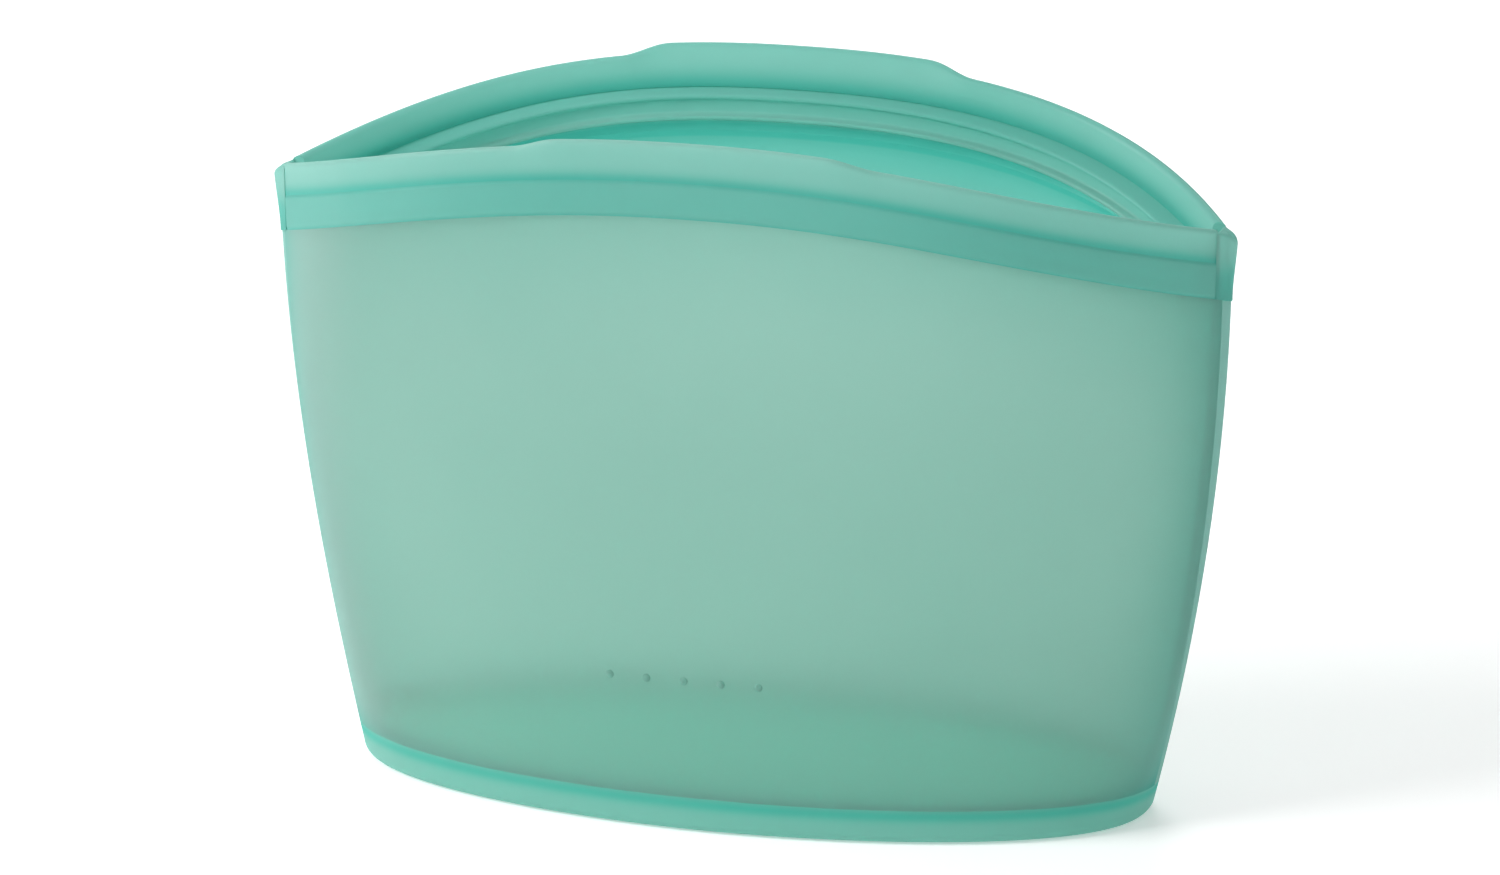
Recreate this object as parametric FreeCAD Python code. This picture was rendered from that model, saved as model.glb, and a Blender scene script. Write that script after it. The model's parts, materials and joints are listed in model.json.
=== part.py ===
import FreeCAD, Part
import math
import os

# Reusable stand-up silicone bag with a press-together mouth, shown open and empty.
# Millimetres. The origin is on the resting plane under the middle of the bag. +X runs along the
# mouth to the right-hand corner, +Y goes from the front wall to the rear wall and +Z is up.

# Driving dimensions of the outer skin
MOUTH_WIDTH = 163.2
MOUTH_DEPTH = 57.4
WAIST_WIDTH = 156.4
WAIST_DEPTH = 49.0
BASE_WIDTH = 136.0
BASE_DEPTH = 57.6
CORNER_HEIGHT = 100.5
ARCH_RISE = 16.6
TAB_RISE = 1.3

# Thickness of the silicone in each region
WALL_THICKNESS = 1.2
SEAM_THICKNESS = 2.2
LIP_THICKNESS = 1.8
ZIP_THICKNESS = 3.0
FOOT_THICKNESS = 3.0
FLOOR_THICKNESS = 2.0

# Heights of the bands, the lip and the zip counted down from the arched rim
LIP_HEIGHT = 5.6
ZIP_HEIGHT = 6.0
FOOT_HEIGHT = 5.6
FOOT_FILLET = 1.6

# Outline of a level section: (1 - (x / half_width) ** fullness) ** roundness
BASE_FULLNESS = 1.88
BASE_ROUNDNESS = 0.46
MOUTH_FULLNESS = 3.97
MOUTH_ROUNDNESS = 1.0
ARCH_FULLNESS = 2.24

# Zip: a plain rib inside the front half presses into a plain channel inside the rear half
RIB_HEIGHT = 1.5
RIB_REACH = 1.5
CHANNEL_CLEARANCE = 0.4

# Where the mouth is divided, and the clearances between its pieces
CENTRE_END = 36.0
SIDE_END = 75.0
KNUCKLE_GAP = 0.3
CORNER_GAP = 0.6
BAND_GAP = 0.3
TAB_GAP = 0.5
LIP_LEG_INSET = 3.3
ZIP_LEG_INSET = 4.5
SEAM_HALF_WIDTH = 1.6
CORNER_BEAD_RADIUS = 1.2
CORNER_BEAD_STEP = 0.3

# Pull tabs: a low rise of the rim with a soft shoulder at each end
TAB_FLAT_HALF = 22.0
TAB_SHOULDER = 9.0

# Row of plain pips moulded low on the front wall
PIP_COUNT = 5
PIP_PITCH = 6.4
PIP_RADIUS = 0.7
PIP_RISE = 0.3
PIP_CENTRE = (-3.8, 24.9)

# Numbers that only set how the shapes are drawn
SECTION_HEIGHTS = (0.0, 25.0, 50.0, 75.0, 95.0, 108.0, 125.0)
SECTION_POINTS = 24
RIM_POINTS = 32
CORNER_POINTS = 8
REACH = 100.0

HALF_MOUTH = MOUTH_WIDTH / 2
FRONT = -1
REAR = 1
LEFT = -1
RIGHT = 1


def quadratic(share, low, middle, high):
    """Smooth value that is low at share 0, middle at one half and high at 1."""
    from_low = low * (1 - share) * (1 - 2 * share)
    from_middle = 4 * middle * share * (1 - share)
    from_high = high * share * (2 * share - 1)
    return from_low + from_middle + from_high


def section_edge(height, side, width_inset, depth_inset):
    """Front or rear edge of a level section, drawn in from the outer skin by the two insets."""
    share = min(height / CORNER_HEIGHT, 1.0)
    half_width = quadratic(share, BASE_WIDTH, WAIST_WIDTH, MOUTH_WIDTH) / 2 - width_inset
    half_depth = quadratic(share, BASE_DEPTH, WAIST_DEPTH, MOUTH_DEPTH) / 2 - depth_inset
    fullness = BASE_FULLNESS + (MOUTH_FULLNESS - BASE_FULLNESS) * share
    roundness = BASE_ROUNDNESS + (MOUTH_ROUNDNESS - BASE_ROUNDNESS) * share
    points = []
    for step in range(SECTION_POINTS + 1):
        along = -math.cos(math.pi * step / SECTION_POINTS)
        drop = max(1 - abs(along) ** fullness, 0.0) ** roundness
        points.append(FreeCAD.Vector(half_width * along, side * half_depth * drop, height))
    spacing = [step / SECTION_POINTS for step in range(SECTION_POINTS + 1)]
    curve = Part.BSplineCurve()
    curve.interpolate(Points=points, Parameters=spacing)
    return curve.toShape()


def skin(width_inset, depth_inset):
    """Solid filled to the outer skin, or to a skin drawn in from it."""
    wires = []
    for height in SECTION_HEIGHTS:
        front_edge = section_edge(height, FRONT, width_inset, depth_inset)
        rear_edge = section_edge(height, REAR, width_inset, depth_inset)
        wires.append(Part.Wire([front_edge, rear_edge]))
    return Part.makeLoft(wires, True, False)


def arch_height(x, drop=0.0):
    """Height of the arched rim above x, lowered by drop."""
    return CORNER_HEIGHT + ARCH_RISE * (1 - abs(x / HALF_MOUTH) ** ARCH_FULLNESS) - drop


def tab_height(x):
    """Height of the rim above x, with the soft rise of the pull tab."""
    share = min(max((TAB_FLAT_HALF + TAB_SHOULDER - abs(x)) / TAB_SHOULDER, 0.0), 1.0)
    return arch_height(x) + TAB_RISE * share * share * (3 - 2 * share)


def rim_edge(height_of, low_x, high_x):
    """Smooth edge in the XZ plane that follows a height formula from low_x to high_x."""
    points = []
    for step in range(RIM_POINTS + 1):
        x = low_x + (high_x - low_x) * step / RIM_POINTS
        points.append(FreeCAD.Vector(x, 0, height_of(x)))
    curve = Part.BSplineCurve()
    curve.interpolate(Points=points)
    return curve.toShape()


def band(low_x, high_x, low_height, high_height, low_y, high_y):
    """Prism between two height formulas, used to cut one piece out of a skin."""
    bottom = rim_edge(low_height, low_x, high_x)
    top = rim_edge(high_height, low_x, high_x)
    left = Part.makeLine(bottom.Vertexes[0].Point, top.Vertexes[0].Point)
    right = Part.makeLine(bottom.Vertexes[-1].Point, top.Vertexes[-1].Point)
    face = Part.Face(Part.Wire([bottom, right, top, left]))
    face.translate(FreeCAD.Vector(0, low_y, 0))
    return face.extrude(FreeCAD.Vector(0, high_y - low_y, 0))


def half_band(side, low_x, high_x, low_height, high_height, from_middle=0.0):
    """Prism on the front or the rear half only, starting from_middle away from the centre plane."""
    if side == FRONT:
        return band(low_x, high_x, low_height, high_height, -REACH, -from_middle)
    return band(low_x, high_x, low_height, high_height, from_middle, REACH)


def level_slab(low, high):
    """Wide flat slab between two heights."""
    corner = FreeCAD.Vector(-REACH, -REACH, low)
    return Part.makeBox(2 * REACH, 2 * REACH, high - low, corner)


def lip_bottom(x):
    """Lower edge of the lip, which is the top of the zip."""
    return arch_height(x, LIP_HEIGHT)


def tab_bottom(x):
    """Lower edge of a pull tab, just clear of the zip it bends over."""
    return arch_height(x, LIP_HEIGHT - TAB_GAP)


def zip_bottom(x):
    """Lower edge of the zip."""
    return arch_height(x, LIP_HEIGHT + ZIP_HEIGHT)


def wall_top(x):
    """Upper edge of the walls, just clear of the zip."""
    return arch_height(x, LIP_HEIGHT + ZIP_HEIGHT + BAND_GAP)


def foot_top(x):
    """Top of the foot ring, where the walls start, which is level for every x."""
    return FOOT_HEIGHT


def span_at(end, near, far):
    """Low and high x of a span that starts and stops at two distances from the middle."""
    return (near, far) if end == RIGHT else (-far, -near)


def rib_line(offset):
    """Height formula for a line offset from the middle of the zip."""
    def height_of(x):
        return arch_height(x, LIP_HEIGHT + ZIP_HEIGHT / 2) + offset
    return height_of


OUTER = skin(0.0, 0.0)
WALL_INSIDE = skin(WALL_THICKNESS, WALL_THICKNESS)
SEAM_INSIDE = skin(SEAM_THICKNESS, WALL_THICKNESS)
LIP_INSIDE = skin(LIP_LEG_INSET, LIP_THICKNESS)
ZIP_INSIDE = skin(ZIP_LEG_INSET, ZIP_THICKNESS)
RIB_TIP = skin(ZIP_LEG_INSET + RIB_REACH, ZIP_THICKNESS + RIB_REACH)
CHANNEL_FLOOR = skin(ZIP_LEG_INSET - RIB_REACH, ZIP_THICKNESS - RIB_REACH - CHANNEL_CLEARANCE / 2)
FOOT_INSIDE = skin(FOOT_THICKNESS, FOOT_THICKNESS)


def foot_ring():
    """Thick skirt that the bag stands on, with a rounded lower edge."""
    slab = OUTER.common(level_slab(0, FOOT_HEIGHT))
    lower_edges = [edge for edge in slab.Edges if edge.BoundBox.ZMax < FOOT_FILLET / 2]
    rounded = slab.makeFillet(FOOT_FILLET, lower_edges)
    return rounded.cut(FOOT_INSIDE)


def floor_membrane():
    """Oval floor, held inside the top of the foot ring."""
    return FOOT_INSIDE.common(level_slab(FOOT_HEIGHT - FLOOR_THICKNESS, FOOT_HEIGHT))


def wall(side):
    """Front or rear wall, from the foot ring to the zip and from seam to seam."""
    shell = OUTER.cut(WALL_INSIDE)
    return shell.common(half_band(side, -REACH, REACH, foot_top, wall_top, SEAM_HALF_WIDTH))


def side_seam(end):
    """Thicker strip down one end of the bag, where the front and rear walls join."""
    low_x, high_x = span_at(end, 0, REACH)
    shell = OUTER.cut(SEAM_INSIDE)
    return shell.common(band(low_x, high_x, foot_top, wall_top, -SEAM_HALF_WIDTH, SEAM_HALF_WIDTH))


def side_span(end):
    """Low and high x of the side pieces of the mouth at one end."""
    return span_at(end, CENTRE_END + KNUCKLE_GAP, SIDE_END)


def lip(side, end):
    """Side piece of a lip, from the knuckle to the corner."""
    low_x, high_x = side_span(end)
    return OUTER.cut(LIP_INSIDE).common(half_band(side, low_x, high_x, lip_bottom, arch_height))


def pull_tab(side):
    """Middle of a lip, which rises a little above the rim so that fingers can part the mouth."""
    shell = OUTER.cut(LIP_INSIDE)
    return shell.common(half_band(side, -CENTRE_END, CENTRE_END, tab_bottom, tab_height))


def zip_piece(side, low_x, high_x):
    """Length of the zip: a thick band with a rib inside the front one and a channel in the rear."""
    strip = half_band(side, low_x, high_x, zip_bottom, lip_bottom)
    body = OUTER.cut(ZIP_INSIDE).common(strip)
    if side == FRONT:
        rib_zone = half_band(side, low_x, high_x, rib_line(-RIB_HEIGHT / 2), rib_line(RIB_HEIGHT / 2))
        rib = ZIP_INSIDE.cut(RIB_TIP).common(rib_zone)
        return body.fuse(rib)
    half_slot = RIB_HEIGHT / 2 + CHANNEL_CLEARANCE
    slot_zone = half_band(side, low_x, high_x, rib_line(-half_slot), rib_line(half_slot))
    return body.cut(CHANNEL_FLOOR.common(slot_zone))


def mouth_plan_edge(end, side, low_x, width_inset, depth_inset):
    """Edge of the level mouth outline from low_x to its tip on the centre plane."""
    half_width = HALF_MOUTH - width_inset
    half_depth = MOUTH_DEPTH / 2 - depth_inset
    points = []
    for step in range(CORNER_POINTS + 1):
        x = low_x + (half_width - low_x) * step / CORNER_POINTS
        y = side * half_depth * (1 - (x / half_width) ** MOUTH_FULLNESS)
        points.append(FreeCAD.Vector(end * x, y, 0))
    curve = Part.BSplineCurve()
    curve.interpolate(Points=points)
    return curve.toShape()


def folded_leg(end, low_height, high_height, width_inset, depth_inset):
    """V-shaped end of the mouth between two height formulas, with legs of even thickness."""
    leg_start = SIDE_END + CORNER_GAP
    edges = []
    for side in (FRONT, REAR):
        outer = mouth_plan_edge(end, side, leg_start, 0.0, 0.0)
        inner = mouth_plan_edge(end, side, leg_start, width_inset, depth_inset)
        edges.extend([outer, inner, Part.makeLine(outer.Vertexes[0].Point, inner.Vertexes[0].Point)])
    face = Part.Face(Part.Wire(Part.__sortEdges__(edges)))
    leg = face.extrude(FreeCAD.Vector(0, 0, 2 * REACH))
    low_x, high_x = span_at(end, 0, REACH)
    return leg.common(band(low_x, high_x, low_height, high_height, -REACH, REACH))


def mouth_corner(end):
    """Folded end of the mouth, where the front and rear lips join, with a beaded tip."""
    lip_leg = folded_leg(end, lip_bottom, arch_height, LIP_LEG_INSET, LIP_THICKNESS)
    zip_leg = folded_leg(end, zip_bottom, lip_bottom, ZIP_LEG_INSET, ZIP_THICKNESS)
    bead_centre = end * (HALF_MOUTH - CORNER_BEAD_STEP)
    bead_foot = FreeCAD.Vector(bead_centre, 0, CORNER_HEIGHT - LIP_HEIGHT)
    bead = Part.makeCylinder(CORNER_BEAD_RADIUS, LIP_HEIGHT, bead_foot)
    return lip_leg.fuse([zip_leg, bead]).removeSplitter()


def pips():
    """Row of low round pips on the face of the front wall."""
    raised = skin(-PIP_RISE, -PIP_RISE).cut(OUTER)
    middle_x, height = PIP_CENTRE
    found = []
    for number in range(PIP_COUNT):
        x = middle_x + (number - (PIP_COUNT - 1) / 2) * PIP_PITCH
        start = FreeCAD.Vector(x, -REACH, height)
        pin = Part.makeCylinder(PIP_RADIUS, REACH, start, FreeCAD.Vector(0, 1, 0))
        found.extend(raised.common(pin).Solids)
    return Part.makeCompound(found)


def all_pieces():
    """Every piece of the bag by name."""
    pieces = {
        "foot_ring": foot_ring(),
        "floor_membrane": floor_membrane(),
        "left_side_seam": side_seam(LEFT),
        "right_side_seam": side_seam(RIGHT),
        "front_wall_pips": pips(),
        "left_mouth_corner": mouth_corner(LEFT),
        "right_mouth_corner": mouth_corner(RIGHT),
    }
    for side, side_name, zip_name in ((FRONT, "front", "zip_rib"), (REAR, "rear", "zip_channel")):
        pieces[side_name + "_wall"] = wall(side)
        pieces[side_name + "_pull_tab"] = pull_tab(side)
        pieces[side_name + "_centre_" + zip_name] = zip_piece(side, -CENTRE_END, CENTRE_END)
        for end, end_name in ((LEFT, "left"), (RIGHT, "right")):
            place = side_name + "_" + end_name
            pieces[place + "_lip"] = lip(side, end)
            pieces[place + "_" + zip_name] = zip_piece(side, *side_span(end))
    return pieces


os.makedirs("parts", exist_ok=True)
for name, piece in all_pieces().items():
    piece.exportStep("parts/" + name + ".step")
    print(name, len(piece.Solids), "solid", round(piece.Volume), "mm3", "valid", piece.isValid())
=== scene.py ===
import json
import math

import bpy
import numpy as np
from mathutils import Matrix, Vector
from mathutils.bvhtree import BVHTree

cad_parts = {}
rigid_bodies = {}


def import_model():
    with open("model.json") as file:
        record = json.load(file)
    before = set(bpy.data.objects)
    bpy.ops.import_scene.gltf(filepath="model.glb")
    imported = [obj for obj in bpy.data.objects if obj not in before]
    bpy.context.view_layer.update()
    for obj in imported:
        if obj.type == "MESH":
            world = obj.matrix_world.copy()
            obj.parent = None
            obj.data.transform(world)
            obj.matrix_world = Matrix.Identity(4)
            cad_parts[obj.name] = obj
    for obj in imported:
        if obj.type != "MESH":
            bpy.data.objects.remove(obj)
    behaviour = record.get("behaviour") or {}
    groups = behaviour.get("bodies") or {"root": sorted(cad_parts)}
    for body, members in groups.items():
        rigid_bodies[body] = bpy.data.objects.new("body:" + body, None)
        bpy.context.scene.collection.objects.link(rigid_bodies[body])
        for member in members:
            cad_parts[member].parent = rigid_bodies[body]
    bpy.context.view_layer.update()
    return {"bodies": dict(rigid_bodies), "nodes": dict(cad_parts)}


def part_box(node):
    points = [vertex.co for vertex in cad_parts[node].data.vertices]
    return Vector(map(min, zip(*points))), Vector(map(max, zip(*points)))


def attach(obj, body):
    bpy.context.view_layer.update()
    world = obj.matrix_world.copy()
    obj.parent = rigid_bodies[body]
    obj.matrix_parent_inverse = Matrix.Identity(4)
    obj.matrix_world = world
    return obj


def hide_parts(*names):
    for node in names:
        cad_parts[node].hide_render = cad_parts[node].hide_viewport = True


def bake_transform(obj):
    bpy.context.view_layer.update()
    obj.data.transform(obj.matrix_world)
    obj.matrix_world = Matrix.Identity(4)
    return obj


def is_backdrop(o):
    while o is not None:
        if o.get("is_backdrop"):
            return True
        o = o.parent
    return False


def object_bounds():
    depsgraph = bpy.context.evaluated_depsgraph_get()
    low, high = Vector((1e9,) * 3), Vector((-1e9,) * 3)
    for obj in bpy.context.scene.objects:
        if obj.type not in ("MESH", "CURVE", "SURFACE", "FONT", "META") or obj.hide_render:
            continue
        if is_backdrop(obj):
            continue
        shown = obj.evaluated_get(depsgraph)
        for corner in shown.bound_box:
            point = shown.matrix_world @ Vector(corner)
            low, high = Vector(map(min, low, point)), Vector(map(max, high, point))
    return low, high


# Looks of a stand-up silicone bag with a press-together mouth. The skins are swept in millimetres
# round the level outlines of the design, then scaled to metres.

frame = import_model()

MM = 0.001
FRONT = -1
REAR = 1
LEFT = -1
RIGHT = 1
END_NAMES = {LEFT: "left", RIGHT: "right"}
SIDE_NAMES = {FRONT: "front", REAR: "rear"}

# Thickness and height of each region of the silicone, in millimetres
WALL_THICKNESS = 1.2
LIP_THICKNESS = 1.8
ZIP_THICKNESS = 3.0
FLOOR_THICKNESS = 2.0
SEAM_THICKNESS = 2.2
SEAM_HALF_WIDTH = 1.6
LIP_HEIGHT = 5.6
ZIP_HEIGHT = 6.0
SKIN_GAP = 0.02
LEG_SLANT = 1.5
FOOT_SLANT = 1.0

# Pull tabs, and how far the front rim of the open mouth sags
TAB_RISE = 1.3
TAB_FLAT_HALF = 22.0
TAB_SHOULDER = 9.0
TAB_LEAN = 1.5
TAB_LEAN_CURVE = 1.5
FRONT_SAG = 1.3

# Level outlines of the design: (1 - share ** fullness) ** roundness
BASE_FULLNESS = 1.88
BASE_ROUNDNESS = 0.46
MOUTH_FULLNESS = 3.97
ARCH_FULLNESS = 2.24
SPREAD_FULLNESS = 7.0
MOUTH_EASE = 4.0
UPRIGHT_ABOVE = 10

# Root of the wall above the foot, and the ridge inside the rear wall under the zip
ROOT_RISE = 0.8
ROOT_REACH = 2.0
RIDGE_RISE = 0.7
RIDGE_WIDTH = 0.7
RIDGE_DROP = 1.6

# Zip: a rib inside the front half, a channel between two ridges inside the rear half
ZIP_PROUD = 0.18
ZIP_EDGE = 0.22
ZIP_END_TAPER = 0.05
RIB_RISE = 1.5
RIB_HALF_WIDTH = 0.8
CHANNEL_RISE = 0.9
CHANNEL_HALF_WIDTH = 0.55
CHANNEL_OFFSET = 1.75

# Lip, and the folded tip of the mouth
LIP_THINNING = 0.3
LIP_END_GAP = 1.6
CORNER_REACH = 2.0
TIP_RADIUS = 0.9
TIP_DROP = 1.2
TIP_FADE = 1.2
TIP_FLARE = 1.0
TIP_GAP = 0.1
RIM_SETBACK = 0.25
RIM_ROUNDING = 0.9

# Foot ring, floor and pips; the inside of the ring is given as heights and insets from the bottom up
FOOT_FILLET = 1.6
RECESS_HEIGHTS = (0.0, 0.15, 0.6, 1.4, 2.4, 3.2, 3.55, 3.6)
RECESS_INSETS = (2.4, 2.55, 2.6, 2.6, 2.65, 2.8, 3.0, 3.2)
FLOOR_INSET = 3.25
FLOOR_DROP = 0.05
FLOOR_SAG = 0.7
PIP_COUNT = 5
PIP_RISE = 0.3
PIP_ROOT = 0.05
PIP_TOP = 0.27

# Depth of colour of each region, from 0 for the palest to 1 for the deepest; some of these tones are painted
# shade and painted light
ZIP_TONE = 0.88
ZIP_MIDDLE_FADE = 0.15
# Painted light: the inside of the rear zip is painted paler than its outside, and darker towards its top
CHANNEL_PAINTED_LIGHT_TONE = 0.68
CHANNEL_TONE_RISE = 0.14
LIP_TONE = 0.5
LIP_ROOT_TONE = 0.45
LIP_ROOT_REACH = {FRONT: 1.4, REAR: 2.2}
# Painted highlight: the front rim is painted lighter; the rear rim is painted as a thin darker edge line
LIP_RIM_HIGHLIGHT_AND_LINE_TONE = {FRONT: -0.15, REAR: 0.1}
LIP_RIM_REACH = 0.7
CORNER_ZIP_TONE = 0.37
CORNER_TONE_BLEND = 0.8
WALL_ROOT_TONE = 0.45
WALL_ROOT_REACH = 3.0
# Painted shade: the wall is painted deeper in colour towards both side edges
WALL_EDGE_SHADE = 0.55
WALL_EDGE_SHADE_REACH = 4.0
# Painted shade: both walls are painted a little deeper in colour just under the zip
WALL_UNDER_ZIP_SHADE = 0.1
WALL_UNDER_ZIP_SHADE_REACH = 12.0
RIDGE_TONE = 0.35
# Painted shade: the inside of the rear wall is painted much deeper in colour under the zip
REAR_INSIDE_SHADE = 0.8
REAR_INSIDE_SHADE_REACH = 22.0
SEAM_TONE = 0.5
FOOT_TONE = 0.5
FOOT_CREASE_TONE = 0.4
FOOT_CREASE_DROP = 0.9
FOOT_CREASE_REACH = 1.1
FLOOR_TONE = 1.0
PIP_TONE = 0.25

# Fineness of the meshes
AROUND = 180
WALL_ROWS = 72
ZIP_ROWS = 33
LIP_ROWS = 14
LIP_RIM_STEPS = 9
SEAM_ROWS = 60
SEAM_CROWDING = 1.5
CORNER_ROWS = 24
CORNER_STEPS = 8
CORNER_ROUNDING_ROWS = (1.25, 1.5, 1.75, 1.92)
FOOT_ROWS = 13
FILLET_STEPS = 8
FLOOR_RINGS = 24
PIP_RING = 20
PIP_ROWS = 5
SHARP_ANGLE = math.radians(40)
LEAST_WEIGHT = 1e-4


# ---------------------------------------------------------------- measures taken from the frame

def box_mm(node):
    """Lowest and highest corner of a CAD node, in millimetres."""
    low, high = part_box(node)
    return np.array(low) / MM, np.array(high) / MM


def outer_face(node, axis, sign, height):
    """Distance from the middle to the outer face of a CAD node along one level axis, in millimetres."""
    mesh = frame["nodes"][node].data
    tree = BVHTree.FromPolygons([v.co for v in mesh.vertices], [p.vertices for p in mesh.polygons])
    start = Vector((0, 0, height * MM))
    start[axis] = sign
    direction = Vector((0, 0, 0))
    direction[axis] = -sign
    return abs(tree.ray_cast(start, direction)[0][axis]) / MM


corner_low, corner_high = box_mm("right_mouth_corner")
tab_high = box_mm("front_pull_tab")[1]
FOOT_HEIGHT = box_mm("foot_ring")[1][2]
CORNER_HEIGHT = corner_low[2] + ZIP_HEIGHT + LIP_HEIGHT
ARCH_RISE = tab_high[2] - TAB_RISE - CORNER_HEIGHT
KNUCKLE = tab_high[0]
CORNER_TIP = corner_high[0]
MEASURED_HEIGHTS = (0.1 * CORNER_HEIGHT, 0.5 * CORNER_HEIGHT, 0.84 * CORNER_HEIGHT)
MEASURED_DEPTHS = [outer_face("front_wall", 1, FRONT, height) for height in MEASURED_HEIGHTS]
MEASURED_WIDTHS = [outer_face("right_side_seam", 0, RIGHT, height) for height in MEASURED_HEIGHTS]
DEPTH_CURVE = np.polyfit(MEASURED_HEIGHTS, MEASURED_DEPTHS, 2)
WIDTH_CURVE = np.polyfit(MEASURED_HEIGHTS, MEASURED_WIDTHS, 2)


def smooth(share):
    """Soft step from 0 to 1."""
    share = np.clip(share, 0, 1)
    return share * share * (3 - 2 * share)


def eased(height):
    """Height that levels off softly at the corners of the mouth, above which the walls are upright."""
    over = (CORNER_HEIGHT - np.asarray(height, float)) / MOUTH_EASE
    return CORNER_HEIGHT - MOUTH_EASE * np.logaddexp(0.0, over)


def half_depth(height):
    return np.polyval(DEPTH_CURVE, eased(height))


def half_width(height):
    return np.polyval(WIDTH_CURVE, eased(height))


MOUTH_HALF = float(half_width(CORNER_HEIGHT + UPRIGHT_ABOVE))
KNUCKLE_SHARE = KNUCKLE / MOUTH_HALF
LIP_END = 1 - LIP_END_GAP / MOUTH_HALF


def outline_powers(height):
    """Fullness and roundness of the level outline, which go from those of the base to the mouth's."""
    rise = np.clip(np.asarray(height, float) / CORNER_HEIGHT, 0, 1)
    fullness = BASE_FULLNESS + (MOUTH_FULLNESS - BASE_FULLNESS) * rise
    roundness = BASE_ROUNDNESS + (1 - BASE_ROUNDNESS) * rise
    return fullness, roundness


def outline(share, height):
    """Depth of the level outline at a share of the half width, as a share of the half depth."""
    fullness, roundness = outline_powers(height)
    return np.clip(1 - np.abs(share) ** fullness, 0, 1) ** roundness


def share_at_depth(depth, height):
    """Share of the half width where the level outline is this deep."""
    fullness, roundness = outline_powers(height)
    return (1 - (depth / half_depth(height)) ** (1 / roundness)) ** (1 / fullness)


def rim(share):
    """Height of the arched rim at a share of the half width."""
    return CORNER_HEIGHT + ARCH_RISE * (1 - np.abs(share) ** ARCH_FULLNESS)


def side_rim(side, share):
    """Height of the rim of one side; the front one of the open mouth sags a little in its middle."""
    return rim(share) - (FRONT_SAG * (1 - share ** 2) if side == FRONT else 0.0)


def tab_rise(share):
    """Soft rise of the rim over a pull tab."""
    x = np.abs(share) * MOUTH_HALF
    return TAB_RISE * smooth((TAB_FLAT_HALF + TAB_SHOULDER - x) / TAB_SHOULDER)


def skin_point(side, share, height, inset, slant=LEG_SLANT):
    """Point of the front or rear skin, drawn in from the outer face by inset millimetres."""
    x = share * (half_width(height) - slant * inset)
    y = side * (half_depth(height) - inset) * outline(share, height)
    return np.stack(np.broadcast_arrays(x, y, height), -1)


# ---------------------------------------------------------------- how far each point follows the mouth

def close_share(share, height):
    """Share of the lips' travel that a point follows: none at the corners, all between the knuckles."""
    return np.clip(outline(share, height) / outline(KNUCKLE_SHARE, height), 0, 1)


def climb_share(share, height):
    """Share of the mouth's motion that reaches down the wall: none at the foot, all at the zip."""
    top = rim(share) - LIP_HEIGHT - ZIP_HEIGHT
    climb = np.clip((height - FOOT_HEIGHT) / (top - FOOT_HEIGHT), 0, 1)
    return climb * (3 - climb * climb) / 2


def spread_share(share):
    """Share of the corners' outward travel that a point follows, from the length of the bowed lip."""
    return np.abs(share) ** SPREAD_FULLNESS


def bend_between(piece):
    """Bakes the piece's placement into its points."""
    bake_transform(piece)


def also_follow(piece, body, group_name, weights, reached):
    """The reached points of a piece also follow a body, each by its own weight."""
    group = piece.vertex_groups.new(name=group_name)
    for i in np.flatnonzero(reached):
        group.add([int(i)], float(weights[i]), "REPLACE")
    hook = piece.modifiers.new("follow_" + body, "HOOK")
    hook.object = frame["bodies"][body]
    hook.vertex_group = group.name
    hook.matrix_inverse = Matrix.Identity(4)


def follow_mouth(piece, shares, spreads):
    """The piece's ends follow the corners out, each point by its weight."""
    bend_between(piece)
    for end in (LEFT, RIGHT):
        reached = (shares * end > 0) & (spreads > LEAST_WEIGHT)
        if reached.any():
            corner = END_NAMES[end] + "_corner"
            also_follow(piece, corner, corner, spreads, reached)


def lean_with_legs(piece, points, weights):
    """The front and rear halves of a piece lean in with the front and rear mouth by these weights."""
    for side in (FRONT, REAR):
        name = SIDE_NAMES[side]
        also_follow(piece, name + "_mouth", name + "_leg", weights, points[:, 1] * side > 0)


# ---------------------------------------------------------------- mesh building

def encloses_forwards(points, faces):
    """Whether the faces of a closed surface turn outwards, from the sign of the volume inside."""
    volume = 0.0
    for face in faces:
        corners = points[list(face)]
        fans = np.cross(corners[1:-1], corners[2:])
        volume += float((fans @ corners[0]).sum())
    return volume > 0


def make_piece(name, points, faces, material, tone):
    """Mesh object from points in millimetres, with smooth faces and a depth of colour at each point, painted
    shade and painted light included.
    """
    points = np.asarray(points, float)
    if not encloses_forwards(points, faces):
        faces = [face[::-1] for face in faces]
    mesh = bpy.data.meshes.new(name)
    mesh.from_pydata((points * MM).tolist(), [], [list(map(int, face)) for face in faces])
    mesh.validate()
    mesh.shade_smooth()
    mesh.set_sharp_from_angle(angle=SHARP_ANGLE)
    # Depth of colour at each point: from thickness, with painted shade and painted light added by the tones
    layer = mesh.attributes.new("tone_and_painted_light", "FLOAT", "POINT")
    layer.data.foreach_set("value", np.asarray(tone, np.float32).ravel())
    piece = bpy.data.objects.new(name, mesh)
    bpy.context.scene.collection.objects.link(piece)
    mesh.materials.append(material)
    return piece


def stand_for(piece, slot, *nodes):
    """The piece takes the place of these CAD nodes, which are hidden; the slot is not used."""
    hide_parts(*nodes)


def strip_faces(here, there, ring):
    """Quads between two closed loops of ring points that start at these indices."""
    faces = []
    for number in range(ring):
        after = (number + 1) % ring
        faces.append((here + number, here + after, there + after, there + number))
    return faces


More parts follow.
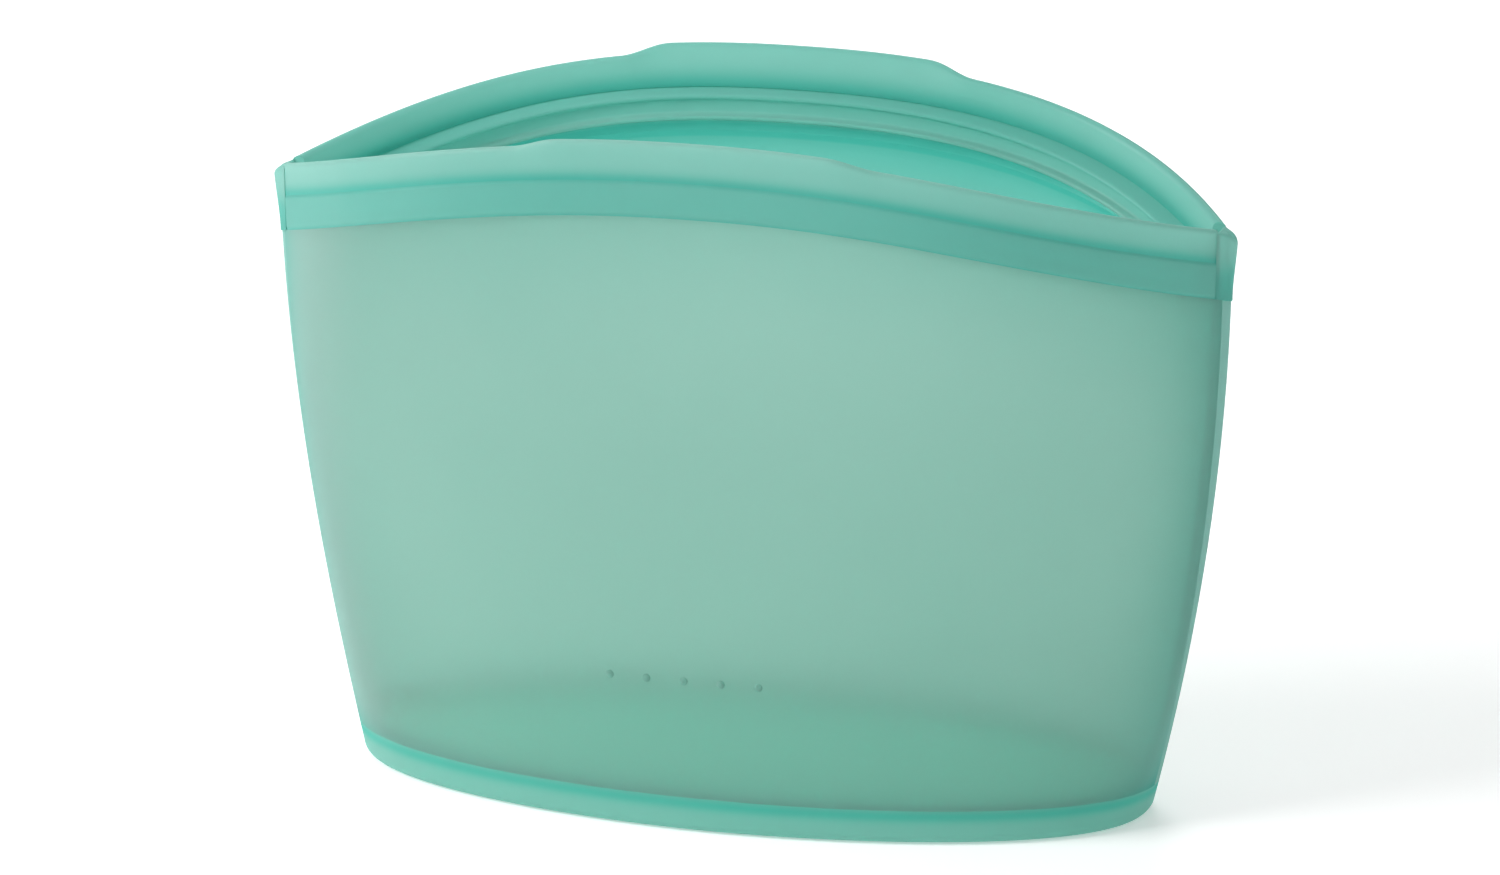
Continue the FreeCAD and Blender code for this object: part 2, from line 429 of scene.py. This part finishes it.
def loop_faces(columns, ring, closed_columns=False, cap_ends=(True, True)):
    """Quads of a closed profile of ring points swept along columns, with end caps where asked."""
    faces = []
    last = columns if closed_columns else columns - 1
    for column in range(last):
        faces += strip_faces(column * ring, ((column + 1) % columns) * ring, ring)
    if not closed_columns:
        if cap_ends[0]:
            faces.append(tuple(range(ring - 1, -1, -1)))
        if cap_ends[1]:
            faces.append(tuple((columns - 1) * ring + number for number in range(ring)))
    return faces


def share_range(low, high, count):
    """Shares of the half width from low to high, closer together towards the corners."""
    angles = np.linspace(math.acos(-low), math.acos(-high), count)
    return -np.cos(angles)


def sweep(name, side, columns, profile, material, cap_ends=(True, True)):
    """Piece swept along the mouth; profile(column) gives the shares, heights, insets and tones of a loop."""
    points, shares, heights, tones = [], [], [], []
    for column in columns:
        share, height, inset, tone = profile(column)
        points.append(skin_point(side, share, height, inset))
        shares.append(np.broadcast_to(share, height.shape))
        heights.append(height)
        tones.append(tone)
    faces = loop_faces(len(columns), len(points[0]), cap_ends=cap_ends)
    piece = make_piece(name, np.concatenate(points), faces, material, np.concatenate(tones))
    return piece, np.concatenate(shares), np.concatenate(heights)


# ---------------------------------------------------------------- profiles

def round_loop(outer, inner):
    """Closed loop from the outer points, bottom to top, and the inner points, bottom to top."""
    return np.concatenate([outer, inner[::-1]])


def bump(distance, reach, power=2):
    """Smooth bump that is 1 where the distance is none and fades out over the reach."""
    return np.exp(-(distance / reach) ** power)


def wall_profile(side):
    """Thin wall; a low ridge runs inside the rear one just under the zip. Painted shade deepens its colour
    towards its side edges and under the zip, most inside the rear wall.
    """
    climb = np.linspace(0, 1, WALL_ROWS)
    inside = 1.0 if side == REAR else 0.0
    widest = share_at_depth(SEAM_HALF_WIDTH, CORNER_HEIGHT)

    def profile(column):
        top = side_rim(side, column * widest) - LIP_HEIGHT - ZIP_HEIGHT
        heights = FOOT_HEIGHT + SKIN_GAP + (top - SKIN_GAP - FOOT_HEIGHT) * climb
        share = column * share_at_depth(SEAM_HALF_WIDTH, heights)
        above_foot, below_zip = heights - FOOT_HEIGHT, top - heights
        from_seam = (1 - abs(column)) * half_width(heights)
        ridge = inside * bump(below_zip - RIDGE_DROP, RIDGE_WIDTH)
        thick = WALL_THICKNESS + RIDGE_RISE * ridge + ROOT_RISE * bump(above_foot, ROOT_REACH, 1)
        tone = WALL_ROOT_TONE * bump(above_foot, WALL_ROOT_REACH, 1)
        # Painted shade: deeper colour towards both side edges of the wall
        tone = tone + WALL_EDGE_SHADE * bump(from_seam, WALL_EDGE_SHADE_REACH, 1)
        # Painted shade: a little deeper colour just under the zip
        tone = tone + WALL_UNDER_ZIP_SHADE * bump(below_zip, WALL_UNDER_ZIP_SHADE_REACH)
        # Painted shade: the inside of the rear wall is much deeper in colour under the zip
        shade = inside * REAR_INSIDE_SHADE * bump(below_zip, REAR_INSIDE_SHADE_REACH)
        inner_tone = tone + RIDGE_TONE * ridge + shade
        insets = round_loop(np.zeros(WALL_ROWS), thick)
        return round_loop(share, share), round_loop(heights, heights), insets, round_loop(tone, inner_tone)
    return profile


def zip_profile(side):
    """Thick zip band, a touch proud outside, with a rib inside at the front and a channel at the rear."""
    across = np.linspace(-1, 1, ZIP_ROWS)
    soft = smooth((1 - np.abs(across)) / ZIP_EDGE)
    offset = across * ZIP_HEIGHT / 2
    tone = ZIP_TONE * (1 - ZIP_MIDDLE_FADE * soft)
    if side == FRONT:
        inner_tone = tone
        relief = RIB_RISE * bump(offset, RIB_HALF_WIDTH, 4)
    else:
        # Painted light: the inside of the rear zip is paler than its outside, which lies in the front lip's
        # shade
        inner_tone = ZIP_TONE * (CHANNEL_PAINTED_LIGHT_TONE + CHANNEL_TONE_RISE * across)
        ridges = bump(offset - CHANNEL_OFFSET, CHANNEL_HALF_WIDTH, 4)
        ridges = ridges + bump(offset + CHANNEL_OFFSET, CHANNEL_HALF_WIDTH, 4)
        relief = CHANNEL_RISE * ridges

    def profile(share):
        heights = side_rim(side, share) - LIP_HEIGHT - ZIP_HEIGHT / 2 + offset
        taper = np.clip((1 - abs(share)) / ZIP_END_TAPER, 0, 1)
        outer = -ZIP_PROUD * soft * taper
        inner = WALL_THICKNESS + (ZIP_THICKNESS - WALL_THICKNESS) * soft + relief * taper
        return share, round_loop(heights, heights), round_loop(outer, inner), round_loop(tone, inner_tone)
    return profile


def lip_profile(side):
    """Lip that thins a little towards its rounded rim and leans out over the pull tab."""
    climb = np.linspace(0, 1, LIP_ROWS)
    thick = LIP_THICKNESS - LIP_THINNING * climb ** 2
    rounding = LIP_THICKNESS / 2
    turn = np.linspace(0, math.pi, LIP_RIM_STEPS)[1:-1]
    rim_insets = thick[-1] / 2 * (1 - np.cos(turn))
    upright_insets = np.concatenate([np.zeros(LIP_ROWS), rim_insets, thick[::-1]])

    def profile(share):
        top = side_rim(side, share) + tab_rise(share)
        bottom = side_rim(side, share) - LIP_HEIGHT
        side_heights = bottom + (top - rounding - bottom) * climb
        rim_heights = top - rounding + rounding * np.sin(turn)
        heights = np.concatenate([side_heights, rim_heights, side_heights[::-1]])
        rise = np.clip((heights - bottom) / (top - bottom), 0, 1)
        insets = upright_insets - TAB_LEAN * tab_rise(share) / TAB_RISE * rise ** TAB_LEAN_CURVE
        tone = LIP_TONE + LIP_ROOT_TONE * bump(heights - bottom, LIP_ROOT_REACH[side])
        # Painted highlight along the front rim; a thin darker line along the rear rim
        tone = tone + LIP_RIM_HIGHLIGHT_AND_LINE_TONE[side] * bump(top - heights, LIP_RIM_REACH, 1)
        return share, heights, insets, tone
    return profile


# ---------------------------------------------------------------- materials

def new_material(name):
    material = bpy.data.materials.new(name)
    material.use_nodes = True
    material.node_tree.nodes.clear()
    return material, material.node_tree


def feed(tree, socket, value):
    """A socket takes a number, a colour or the output of another node."""
    if isinstance(value, bpy.types.NodeSocket):
        tree.links.new(value, socket)
    else:
        socket.default_value = value


def add_node(tree, kind, **inputs):
    """Shader node with some of its inputs fed by name, words joined by underscores."""
    node = tree.nodes.new("ShaderNode" + kind)
    for name, value in inputs.items():
        feed(tree, node.inputs[name.replace("_", " ")], value)
    return node


def add_math(tree, operation, *values, clamp=False):
    node = tree.nodes.new("ShaderNodeMath")
    node.operation = operation
    node.use_clamp = clamp
    for socket, value in zip(node.inputs, values):
        feed(tree, socket, value)
    return node.outputs[0]


def add_mix(tree, share, first, second):
    """Mix of two shader nodes, with this share of the second."""
    mix = tree.nodes.new("ShaderNodeMixShader")
    feed(tree, mix.inputs[0], share)
    feed(tree, mix.inputs[1], first.outputs[0])
    feed(tree, mix.inputs[2], second.outputs[0])
    return mix


def add_ramp(tree, value, start, end, at_start, at_end):
    """Soft ramp from one value to another."""
    ramp = tree.nodes.new("ShaderNodeMapRange")
    ramp.interpolation_type = "SMOOTHSTEP"
    for socket, number in zip(ramp.inputs[:5], (value, start, end, at_start, at_end)):
        feed(tree, socket, number)
    return ramp.outputs["Result"]


def finish_material(tree, shader):
    output = tree.nodes.new("ShaderNodeOutputMaterial")
    tree.links.new(shader.outputs[0], output.inputs["Surface"])


# Frosted silicone: cloudiness, fine grain, and how it bends, blurs and reflects light
CLOUD_SCALE = 22.0
CLOUD_DETAIL = 3.0
CLOUD_DEPTH = 0.16
GRAIN_SCALE = 1400.0
GRAIN_DETAIL = 2.0
GRAIN_STRENGTH = 0.08
GRAIN_DEPTH = 0.0002
BEND_INDEX = 1.25
BLUR = 0.35
COAT_INDEX = 1.3
COAT_ROUGHNESS = 0.42
MOST_COAT = 0.05
BACKLIT_SHARE = 0.5
THICK_CLEARNESS_LOSS = 0.6
SQUARE_ON = 0.35
EDGE_ON = 0.95
EDGE_ON_CLEARNESS = 0.15


def colour_depth(tree, position):
    """Depth of colour of the region, with its painted shade and painted light, made a little cloudy."""
    region = add_node(tree, "Attribute")
    # This attribute carries the thickness tone plus painted shade and painted light
    region.attribute_name = "tone_and_painted_light"
    cloud = add_node(tree, "TexNoise", Vector=position, Scale=CLOUD_SCALE, Detail=CLOUD_DETAIL)
    drift = add_math(tree, "MULTIPLY_ADD", cloud.outputs["Fac"], CLOUD_DEPTH, region.outputs["Fac"])
    return add_math(tree, "SUBTRACT", drift, CLOUD_DEPTH / 2, clamp=True)


def fine_grain(tree, position):
    """Normal of a finely frosted surface."""
    grain = add_node(tree, "TexNoise", Vector=position, Scale=GRAIN_SCALE, Detail=GRAIN_DETAIL)
    bumps = add_node(tree, "Bump", Strength=GRAIN_STRENGTH, Distance=GRAIN_DEPTH, Height=grain.outputs["Fac"])
    return bumps.outputs["Normal"]


def silicone(name, thin, thick, see_through):
    """Frosted silicone: it scatters light through itself and deepens in colour where it is thick and where
    shade is painted, and pales where light is painted.
    """
    material, tree = new_material(name)
    position = add_node(tree, "NewGeometry").outputs["Position"]
    depth = colour_depth(tree, position)
    normal = fine_grain(tree, position)
    blend = tree.nodes.new("ShaderNodeMix")
    blend.data_type = "RGBA"
    for socket_name, value in (("A", (*thin, 1)), ("B", (*thick, 1)), ("Factor", depth)):
        feed(tree, blend.inputs[socket_name], value)
    colour = blend.outputs["Result"]
    diffuse = add_node(tree, "BsdfDiffuse", Color=colour, Normal=normal)
    translucent = add_node(tree, "BsdfTranslucent", Color=colour, Normal=normal)
    refraction = add_node(tree, "BsdfRefraction", Color=colour, Normal=normal, IOR=BEND_INDEX, Roughness=BLUR)
    gloss = add_node(tree, "BsdfGlossy", Normal=normal, Roughness=COAT_ROUGHNESS)
    scatter = add_mix(tree, BACKLIT_SHARE, diffuse, translucent)
    clear = add_math(tree, "MULTIPLY_ADD", depth, -THICK_CLEARNESS_LOSS * see_through, see_through)
    facing = add_node(tree, "LayerWeight", Blend=0.5).outputs["Facing"]
    square_on = add_ramp(tree, facing, SQUARE_ON, EDGE_ON, 1.0, EDGE_ON_CLEARNESS)
    through = add_mix(tree, add_math(tree, "MULTIPLY", clear, square_on), scatter, refraction)
    fresnel = add_node(tree, "Fresnel", IOR=COAT_INDEX, Normal=normal)
    sheen = add_math(tree, "MINIMUM", fresnel.outputs[0], MOST_COAT)
    finish_material(tree, add_mix(tree, sheen, through, gloss))
    return material


THIN = (0.65, 0.815, 0.77)
THICK = (0.10, 0.58, 0.50)
THICK_FOOT = (0.09, 0.66, 0.56)
# Painted light: the floor's deep colour is brighter and greener than the rest, standing in for light that
# does not reach it
THICK_FLOOR_PAINTED_LIGHT = (0.16, 0.90, 0.80)
wall_silicone = silicone("wall_silicone", THIN, THICK, see_through=0.72)
lip_silicone = silicone("lip_silicone", THIN, THICK, see_through=0.4)
zip_silicone = silicone("zip_silicone", THIN, THICK, see_through=0.3)
foot_silicone = silicone("foot_silicone", THIN, THICK_FOOT, see_through=0.35)
seam_silicone = silicone("seam_silicone", THIN, THICK, see_through=0.12)
painted_light_floor_silicone = silicone("painted_light_floor_silicone", THIN, THICK_FLOOR_PAINTED_LIGHT, see_through=0.3)


# ---------------------------------------------------------------- pieces of the bag

def build_wall(side):
    name = SIDE_NAMES[side] + "_wall"
    columns = share_range(-1, 1, AROUND)
    piece, shares, heights = sweep(name + "_skin", side, columns, wall_profile(side), wall_silicone)
    climb = climb_share(shares, heights)
    follow_mouth(piece, shares, spread_share(shares) * climb)
    stand_for(piece, "wall_silicone", name)


def build_zip(side):
    kind = "zip_rib" if side == FRONT else "zip_channel"
    name = f"{SIDE_NAMES[side]}_{kind}_skin"
    columns = share_range(-LIP_END, LIP_END, AROUND)
    piece, shares, heights = sweep(name, side, columns, zip_profile(side), zip_silicone)
    follow_mouth(piece, shares, spread_share(shares))
    nodes = [f"{SIDE_NAMES[side]}_{part}_{kind}" for part in ("left", "centre", "right")]
    stand_for(piece, "zip_silicone", *nodes)


def build_side_lip(side, end):
    name = f"{SIDE_NAMES[side]}_{END_NAMES[end]}_lip"
    low, high = (-LIP_END, -KNUCKLE_SHARE) if end == LEFT else (KNUCKLE_SHARE, LIP_END)
    caps = (end == LEFT, end == RIGHT)
    columns = share_range(low, high, AROUND // 3)
    piece, shares, heights = sweep(name + "_skin", side, columns, lip_profile(side), lip_silicone, caps)
    follow_mouth(piece, shares, spread_share(shares))
    stand_for(piece, "lip_silicone", name)


def build_tab(side):
    name = SIDE_NAMES[side] + "_pull_tab"
    columns = share_range(-KNUCKLE_SHARE, KNUCKLE_SHARE, AROUND // 2)
    profile = lip_profile(side)
    piece, shares, heights = sweep(name + "_skin", side, columns, profile, lip_silicone, (False, False))
    bend_between(piece)
    stand_for(piece, "lip_silicone", name)


def build_seam(end):
    """Thicker strip where the front and rear walls join, from the foot to the mouth's corner."""
    node = END_NAMES[end] + "_side_seam"
    across = np.linspace(-1, 1, 2 * CORNER_STEPS + 1)
    y = (SEAM_HALF_WIDTH - SKIN_GAP) * np.sign(across) * np.abs(across) ** SEAM_CROWDING
    top = rim(share_at_depth(np.abs(y), CORNER_HEIGHT)) - LIP_HEIGHT - ZIP_HEIGHT - SKIN_GAP
    points, shares = [], []
    for climb in np.linspace(0, 1, SEAM_ROWS):
        height = FOOT_HEIGHT + SKIN_GAP + (top - FOOT_HEIGHT - SKIN_GAP) * climb
        share = share_at_depth(np.abs(y), height)
        outer_x = end * share * half_width(height)
        inner_x = outer_x - end * SEAM_THICKNESS
        loop = [round_loop(outer_x, inner_x), round_loop(y, y), round_loop(height, height)]
        points.append(np.stack(loop, -1))
        shares.append(round_loop(share, share))
    points, shares = np.concatenate(points), np.concatenate(shares)
    faces = loop_faces(SEAM_ROWS, 2 * len(across))
    piece = make_piece(node + "_skin", points, faces, seam_silicone, np.full(len(points), SEAM_TONE))
    climb = climb_share(shares, points[:, 2])
    bend_between(piece)
    lean_with_legs(piece, points, close_share(shares, points[:, 2]) * climb)
    stand_for(piece, "wall_silicone", node)


def corner_loop(end, row):
    """Loop round the folded tip of the mouth, from front leg to rear leg; row is 0 below, 1 at the rim."""
    steps = np.linspace(-1, 1, 2 * CORNER_STEPS + 1)
    back = CORNER_REACH * steps ** 2
    share = 1 - back / MOUTH_HALF
    bottom = rim(share) - LIP_HEIGHT - ZIP_HEIGHT
    drop = TIP_DROP * (1 - np.sqrt(1 - (1 - np.minimum(back / TIP_DROP, 1)) ** 2))
    top = rim(share) - drop - RIM_SETBACK
    height = bottom + (top - RIM_ROUNDING - bottom) * min(row, 1)
    flare = (CORNER_TIP - MOUTH_HALF) * smooth((height - bottom) / (LIP_HEIGHT + ZIP_HEIGHT))
    x = MOUTH_HALF - back + flare * bump(back, TIP_FLARE)
    leg = half_depth(height) * outline(share, height)
    y = np.sign(steps) * np.sqrt(leg ** 2 + 2 * TIP_RADIUS * back * bump(back, TIP_FADE)) + TIP_GAP * steps
    if row > 1:
        turn = (row - 1) * math.pi / 2
        middle_x = MOUTH_HALF - TIP_FADE
        x = middle_x + (x - middle_x) * math.cos(turn)
        y = y * math.cos(turn)
        height = height.mean() + (height - height.mean()) * math.cos(turn) + RIM_ROUNDING * math.sin(turn)
    return np.stack([end * x, y, height], -1), share


def build_corner(end):
    """Folded tip of the mouth; each leg leans in with its own lip as the mouth closes."""
    node = END_NAMES[end] + "_mouth_corner"
    rows = [*np.linspace(0, 1, CORNER_ROWS), *CORNER_ROUNDING_ROWS]
    loops = [corner_loop(end, row) for row in rows]
    points = np.concatenate([loop for loop, share in loops])
    shares = np.concatenate([share for loop, share in loops])
    above_zip = points[:, 2] - CORNER_HEIGHT + LIP_HEIGHT
    tone = LIP_TONE + CORNER_ZIP_TONE / (1 + np.exp(above_zip / CORNER_TONE_BLEND))
    faces = loop_faces(len(rows), 2 * CORNER_STEPS + 1)
    piece = make_piece(node + "_skin", points, faces, lip_silicone, tone)
    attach(piece, END_NAMES[end] + "_corner")
    lean_with_legs(piece, points, close_share(shares, CORNER_HEIGHT))
    stand_for(piece, "lip_silicone", node)


def ring_point(angle, height, inset):
    """Point of the foot's outline at an angle round it, drawn in by inset millimetres."""
    side = FRONT if math.sin(angle) < 0 else REAR
    return skin_point(side, math.cos(angle), height, inset, FOOT_SLANT)


ANGLES = np.linspace(0, 2 * math.pi, 2 * AROUND, endpoint=False)


def build_foot():
    """Foot ring with a rounded lower edge, thinner below the floor."""
    turn = np.linspace(0, math.pi / 2, FILLET_STEPS)
    upright = np.linspace(FOOT_HEIGHT, FOOT_FILLET, FOOT_ROWS + 1)[:-1]
    top_inset = RECESS_INSETS[-1]
    heights = [upright, FOOT_FILLET - FOOT_FILLET * np.sin(turn), RECESS_HEIGHTS, [FOOT_HEIGHT]]
    insets = [np.zeros(FOOT_ROWS), FOOT_FILLET - FOOT_FILLET * np.cos(turn), RECESS_INSETS, [top_inset]]
    heights, insets = np.concatenate(heights), np.concatenate(insets)
    crease = heights - FOOT_HEIGHT + FOOT_CREASE_DROP
    tone = FOOT_TONE + FOOT_CREASE_TONE * bump(crease, FOOT_CREASE_REACH)
    points = np.concatenate([ring_point(angle, heights, insets) for angle in ANGLES])
    faces = loop_faces(len(ANGLES), len(heights), closed_columns=True)
    piece = make_piece("foot_ring_skin", points, faces, foot_silicone, np.tile(tone, len(ANGLES)))
    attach(piece, "root")
    stand_for(piece, "foot_silicone", "foot_ring")


def floor_loop(grow, drop):
    """Loop of the floor at a share of its width, this far below the top of the foot."""
    loop = np.array([ring_point(angle, FOOT_HEIGHT, FLOOR_INSET) for angle in ANGLES])
    loop[:, :2] *= grow
    loop[:, 2] = FOOT_HEIGHT - drop - FLOOR_SAG * (1 - grow ** 2)
    return loop


def build_floor():
    """Oval floor that dishes down a little towards its middle."""
    ring = len(ANGLES)
    grows = 1 - np.arange(FLOOR_RINGS) / FLOOR_RINGS
    upper = [floor_loop(grow, FLOOR_DROP) for grow in grows]
    lower = [floor_loop(grow, FLOOR_THICKNESS) for grow in grows]
    middles = [[0, 0, loops[-1][0, 2] - SKIN_GAP] for loops in (upper, lower)]
    points = np.concatenate([*upper, *lower[::-1], middles])
    inner_upper, inner_lower = (FLOOR_RINGS - 1) * ring, FLOOR_RINGS * ring
    last = (2 * FLOOR_RINGS - 1) * ring
    upper_middle, lower_middle = last + ring, last + ring + 1
    faces = strip_faces(last, 0, ring)
    for start in range(0, last, ring):
        if start != inner_upper:
            faces += strip_faces(start, start + ring, ring)
    for number in range(ring):
        after = (number + 1) % ring
        faces.append((inner_upper + number, inner_upper + after, upper_middle))
        faces.append((inner_lower + after, inner_lower + number, lower_middle))
    # The floor wears the silicone with painted light
    piece = make_piece("floor_skin", points, faces, painted_light_floor_silicone, np.full(len(points), FLOOR_TONE))
    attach(piece, "root")
    stand_for(piece, "foot_silicone", "floor_membrane")


def pip_points(x, z, radius):
    """Points of one low dome on the front wall: rings from its root upwards, then its top."""
    points = []
    for row in range(PIP_ROWS):
        turn = row / PIP_ROWS * math.pi / 2
        reach = radius * math.cos(turn)
        inset = PIP_ROOT - PIP_RISE * math.sin(turn)
        for angle in np.linspace(0, 2 * math.pi, PIP_RING, endpoint=False):
            height = z + reach * math.sin(angle)
            share = (x + reach * math.cos(angle)) / float(half_width(height))
            points.append(skin_point(FRONT, share, height, inset))
    points.append(skin_point(FRONT, x / float(half_width(z)), z, -PIP_TOP))
    return points


def pip_faces(start):
    """Faces of one dome whose points start at this index, closed underneath."""
    faces = [tuple(start + number for number in range(PIP_RING - 1, -1, -1))]
    for row in range(PIP_ROWS - 1):
        faces += strip_faces(start + row * PIP_RING, start + (row + 1) * PIP_RING, PIP_RING)
    last = start + (PIP_ROWS - 1) * PIP_RING
    for number in range(PIP_RING):
        faces.append((last + number, last + (number + 1) % PIP_RING, last + PIP_RING))
    return faces


def build_pips():
    """Row of plain low pips near the base of the front wall."""
    low, high = box_mm("front_wall_pips")
    radius, z = (high[2] - low[2]) / 2, (low[2] + high[2]) / 2
    points, faces = [], []
    for x in np.linspace(low[0] + radius, high[0] - radius, PIP_COUNT):
        faces += pip_faces(len(points))
        points += pip_points(x, z, radius)
    points = np.array(points)
    tone = np.full(len(points), PIP_TONE)
    piece = make_piece("front_wall_pips_skin", points, faces, wall_silicone, tone)
    shares = points[:, 0] / half_width(points[:, 2])
    climb = climb_share(shares, points[:, 2])
    follow_mouth(piece, shares, 0 * climb)
    stand_for(piece, "wall_silicone", "front_wall_pips")


for side in (FRONT, REAR):
    build_wall(side)
    build_zip(side)
    build_tab(side)
    for end in (LEFT, RIGHT):
        build_side_lip(side, end)
for end in (LEFT, RIGHT):
    build_seam(end)
    build_corner(end)
build_foot()
build_floor()
build_pips()


# ---------------------------------------------------------------- studio, in metres and watts

FLOOR_SIZE = 8
FLOOR_CLEARANCE = 0.0002
PAPER_WHITE = 0.9
PAPER_ROUGHNESS = 0.7
NEAR_GLOW = 0.3
FAR_GLOW = 0.62
GLOW_START = 0.3
GLOW_END = 1.6
WORLD_CAST = 0.38
WORLD_SEEN = 0.97
CAMERA_AZIMUTH = math.radians(17.8)
CAMERA_ELEVATION = math.radians(17.4)
CAMERA_ROLL = math.radians(-0.8)
LENS = 180.0
SENSOR = 36.0
FRAME_TO_WIDTH = 1.5
AIM = (0, 0, 0.06)


def paper_material():
    """Matt white paper that glows a little more away from the middle, so that it stays white."""
    material, tree = new_material("studio_paper")
    away = add_node(tree, "VectorMath")
    away.operation = "LENGTH"
    tree.links.new(add_node(tree, "NewGeometry").outputs["Position"], away.inputs[0])
    glow = add_ramp(tree, away.outputs["Value"], GLOW_START, GLOW_END, NEAR_GLOW, FAR_GLOW)
    shader = add_node(tree, "BsdfPrincipled", Roughness=PAPER_ROUGHNESS, Emission_Strength=glow)
    shader.inputs["Base Color"].default_value = (PAPER_WHITE, PAPER_WHITE, PAPER_WHITE, 1)
    shader.inputs["Emission Color"].default_value = (1, 1, 1, 1)
    finish_material(tree, shader)
    return material


def build_floor_stage():
    bpy.ops.mesh.primitive_plane_add(size=FLOOR_SIZE, location=(0, 0, -FLOOR_CLEARANCE))
    floor = bpy.context.object
    floor.name = "studio_floor"
    floor.data.materials.append(paper_material())
    floor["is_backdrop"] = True


def build_world():
    """Soft white surround that looks brighter than the light it casts, like a lit paper sweep."""
    world = bpy.data.worlds.new("world")
    world.use_nodes = True
    tree = world.node_tree
    tree.nodes.clear()
    cast = add_node(tree, "Background", Color=(1, 1, 1, 1), Strength=WORLD_CAST)
    seen = add_node(tree, "Background", Color=(1, 1, 1, 1), Strength=WORLD_SEEN)
    path = add_node(tree, "LightPath").outputs
    looked_at = add_math(tree, "MAXIMUM", path["Is Camera Ray"], path["Is Transmission Ray"])
    output = tree.nodes.new("ShaderNodeOutputWorld")
    tree.links.new(add_mix(tree, looked_at, cast, seen).outputs[0], output.inputs["Surface"])
    bpy.context.scene.world = world


def area_light(name, place, size, watts):
    data = bpy.data.lights.new(name, "AREA")
    data.shape = "DISK"
    data.size = size
    data.energy = watts
    lamp = bpy.data.objects.new(name, data)
    lamp.location = place
    lamp.rotation_euler = (Vector(AIM) - Vector(place)).to_track_quat("-Z", "Y").to_euler()
    bpy.context.scene.collection.objects.link(lamp)


def build_camera():
    """Long lens, a little to the right of the front and a little above."""
    low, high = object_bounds()
    level = math.cos(CAMERA_ELEVATION)
    back = Vector((
        math.sin(CAMERA_AZIMUTH) * level,
        -math.cos(CAMERA_AZIMUTH) * level,
        math.sin(CAMERA_ELEVATION),
    ))
    distance = FRAME_TO_WIDTH * (high - low).x * LENS / SENSOR
    data = bpy.data.cameras.new("camera")
    data.lens = LENS
    data.sensor_width = SENSOR
    data.clip_end = 100
    camera = bpy.data.objects.new("camera", data)
    camera.location = (low + high) / 2 + back * distance
    camera.rotation_mode = "QUATERNION"
    roll = Matrix.Rotation(CAMERA_ROLL, 4, "Z").to_quaternion()
    camera.rotation_quaternion = (-back).to_track_quat("-Z", "Y") @ roll
    bpy.context.scene.collection.objects.link(camera)
    bpy.context.scene.camera = camera


build_floor_stage()
area_light("key", (-0.7, -0.42, 0.6), size=0.6, watts=8.5)
area_light("back", (-0.5, 1.2, 0.9), size=1.0, watts=9)
area_light("fill", (0.8, -0.15, 0.25), size=0.5, watts=0.9)
build_world()
bpy.context.scene.view_settings.view_transform = "Standard"
build_camera()
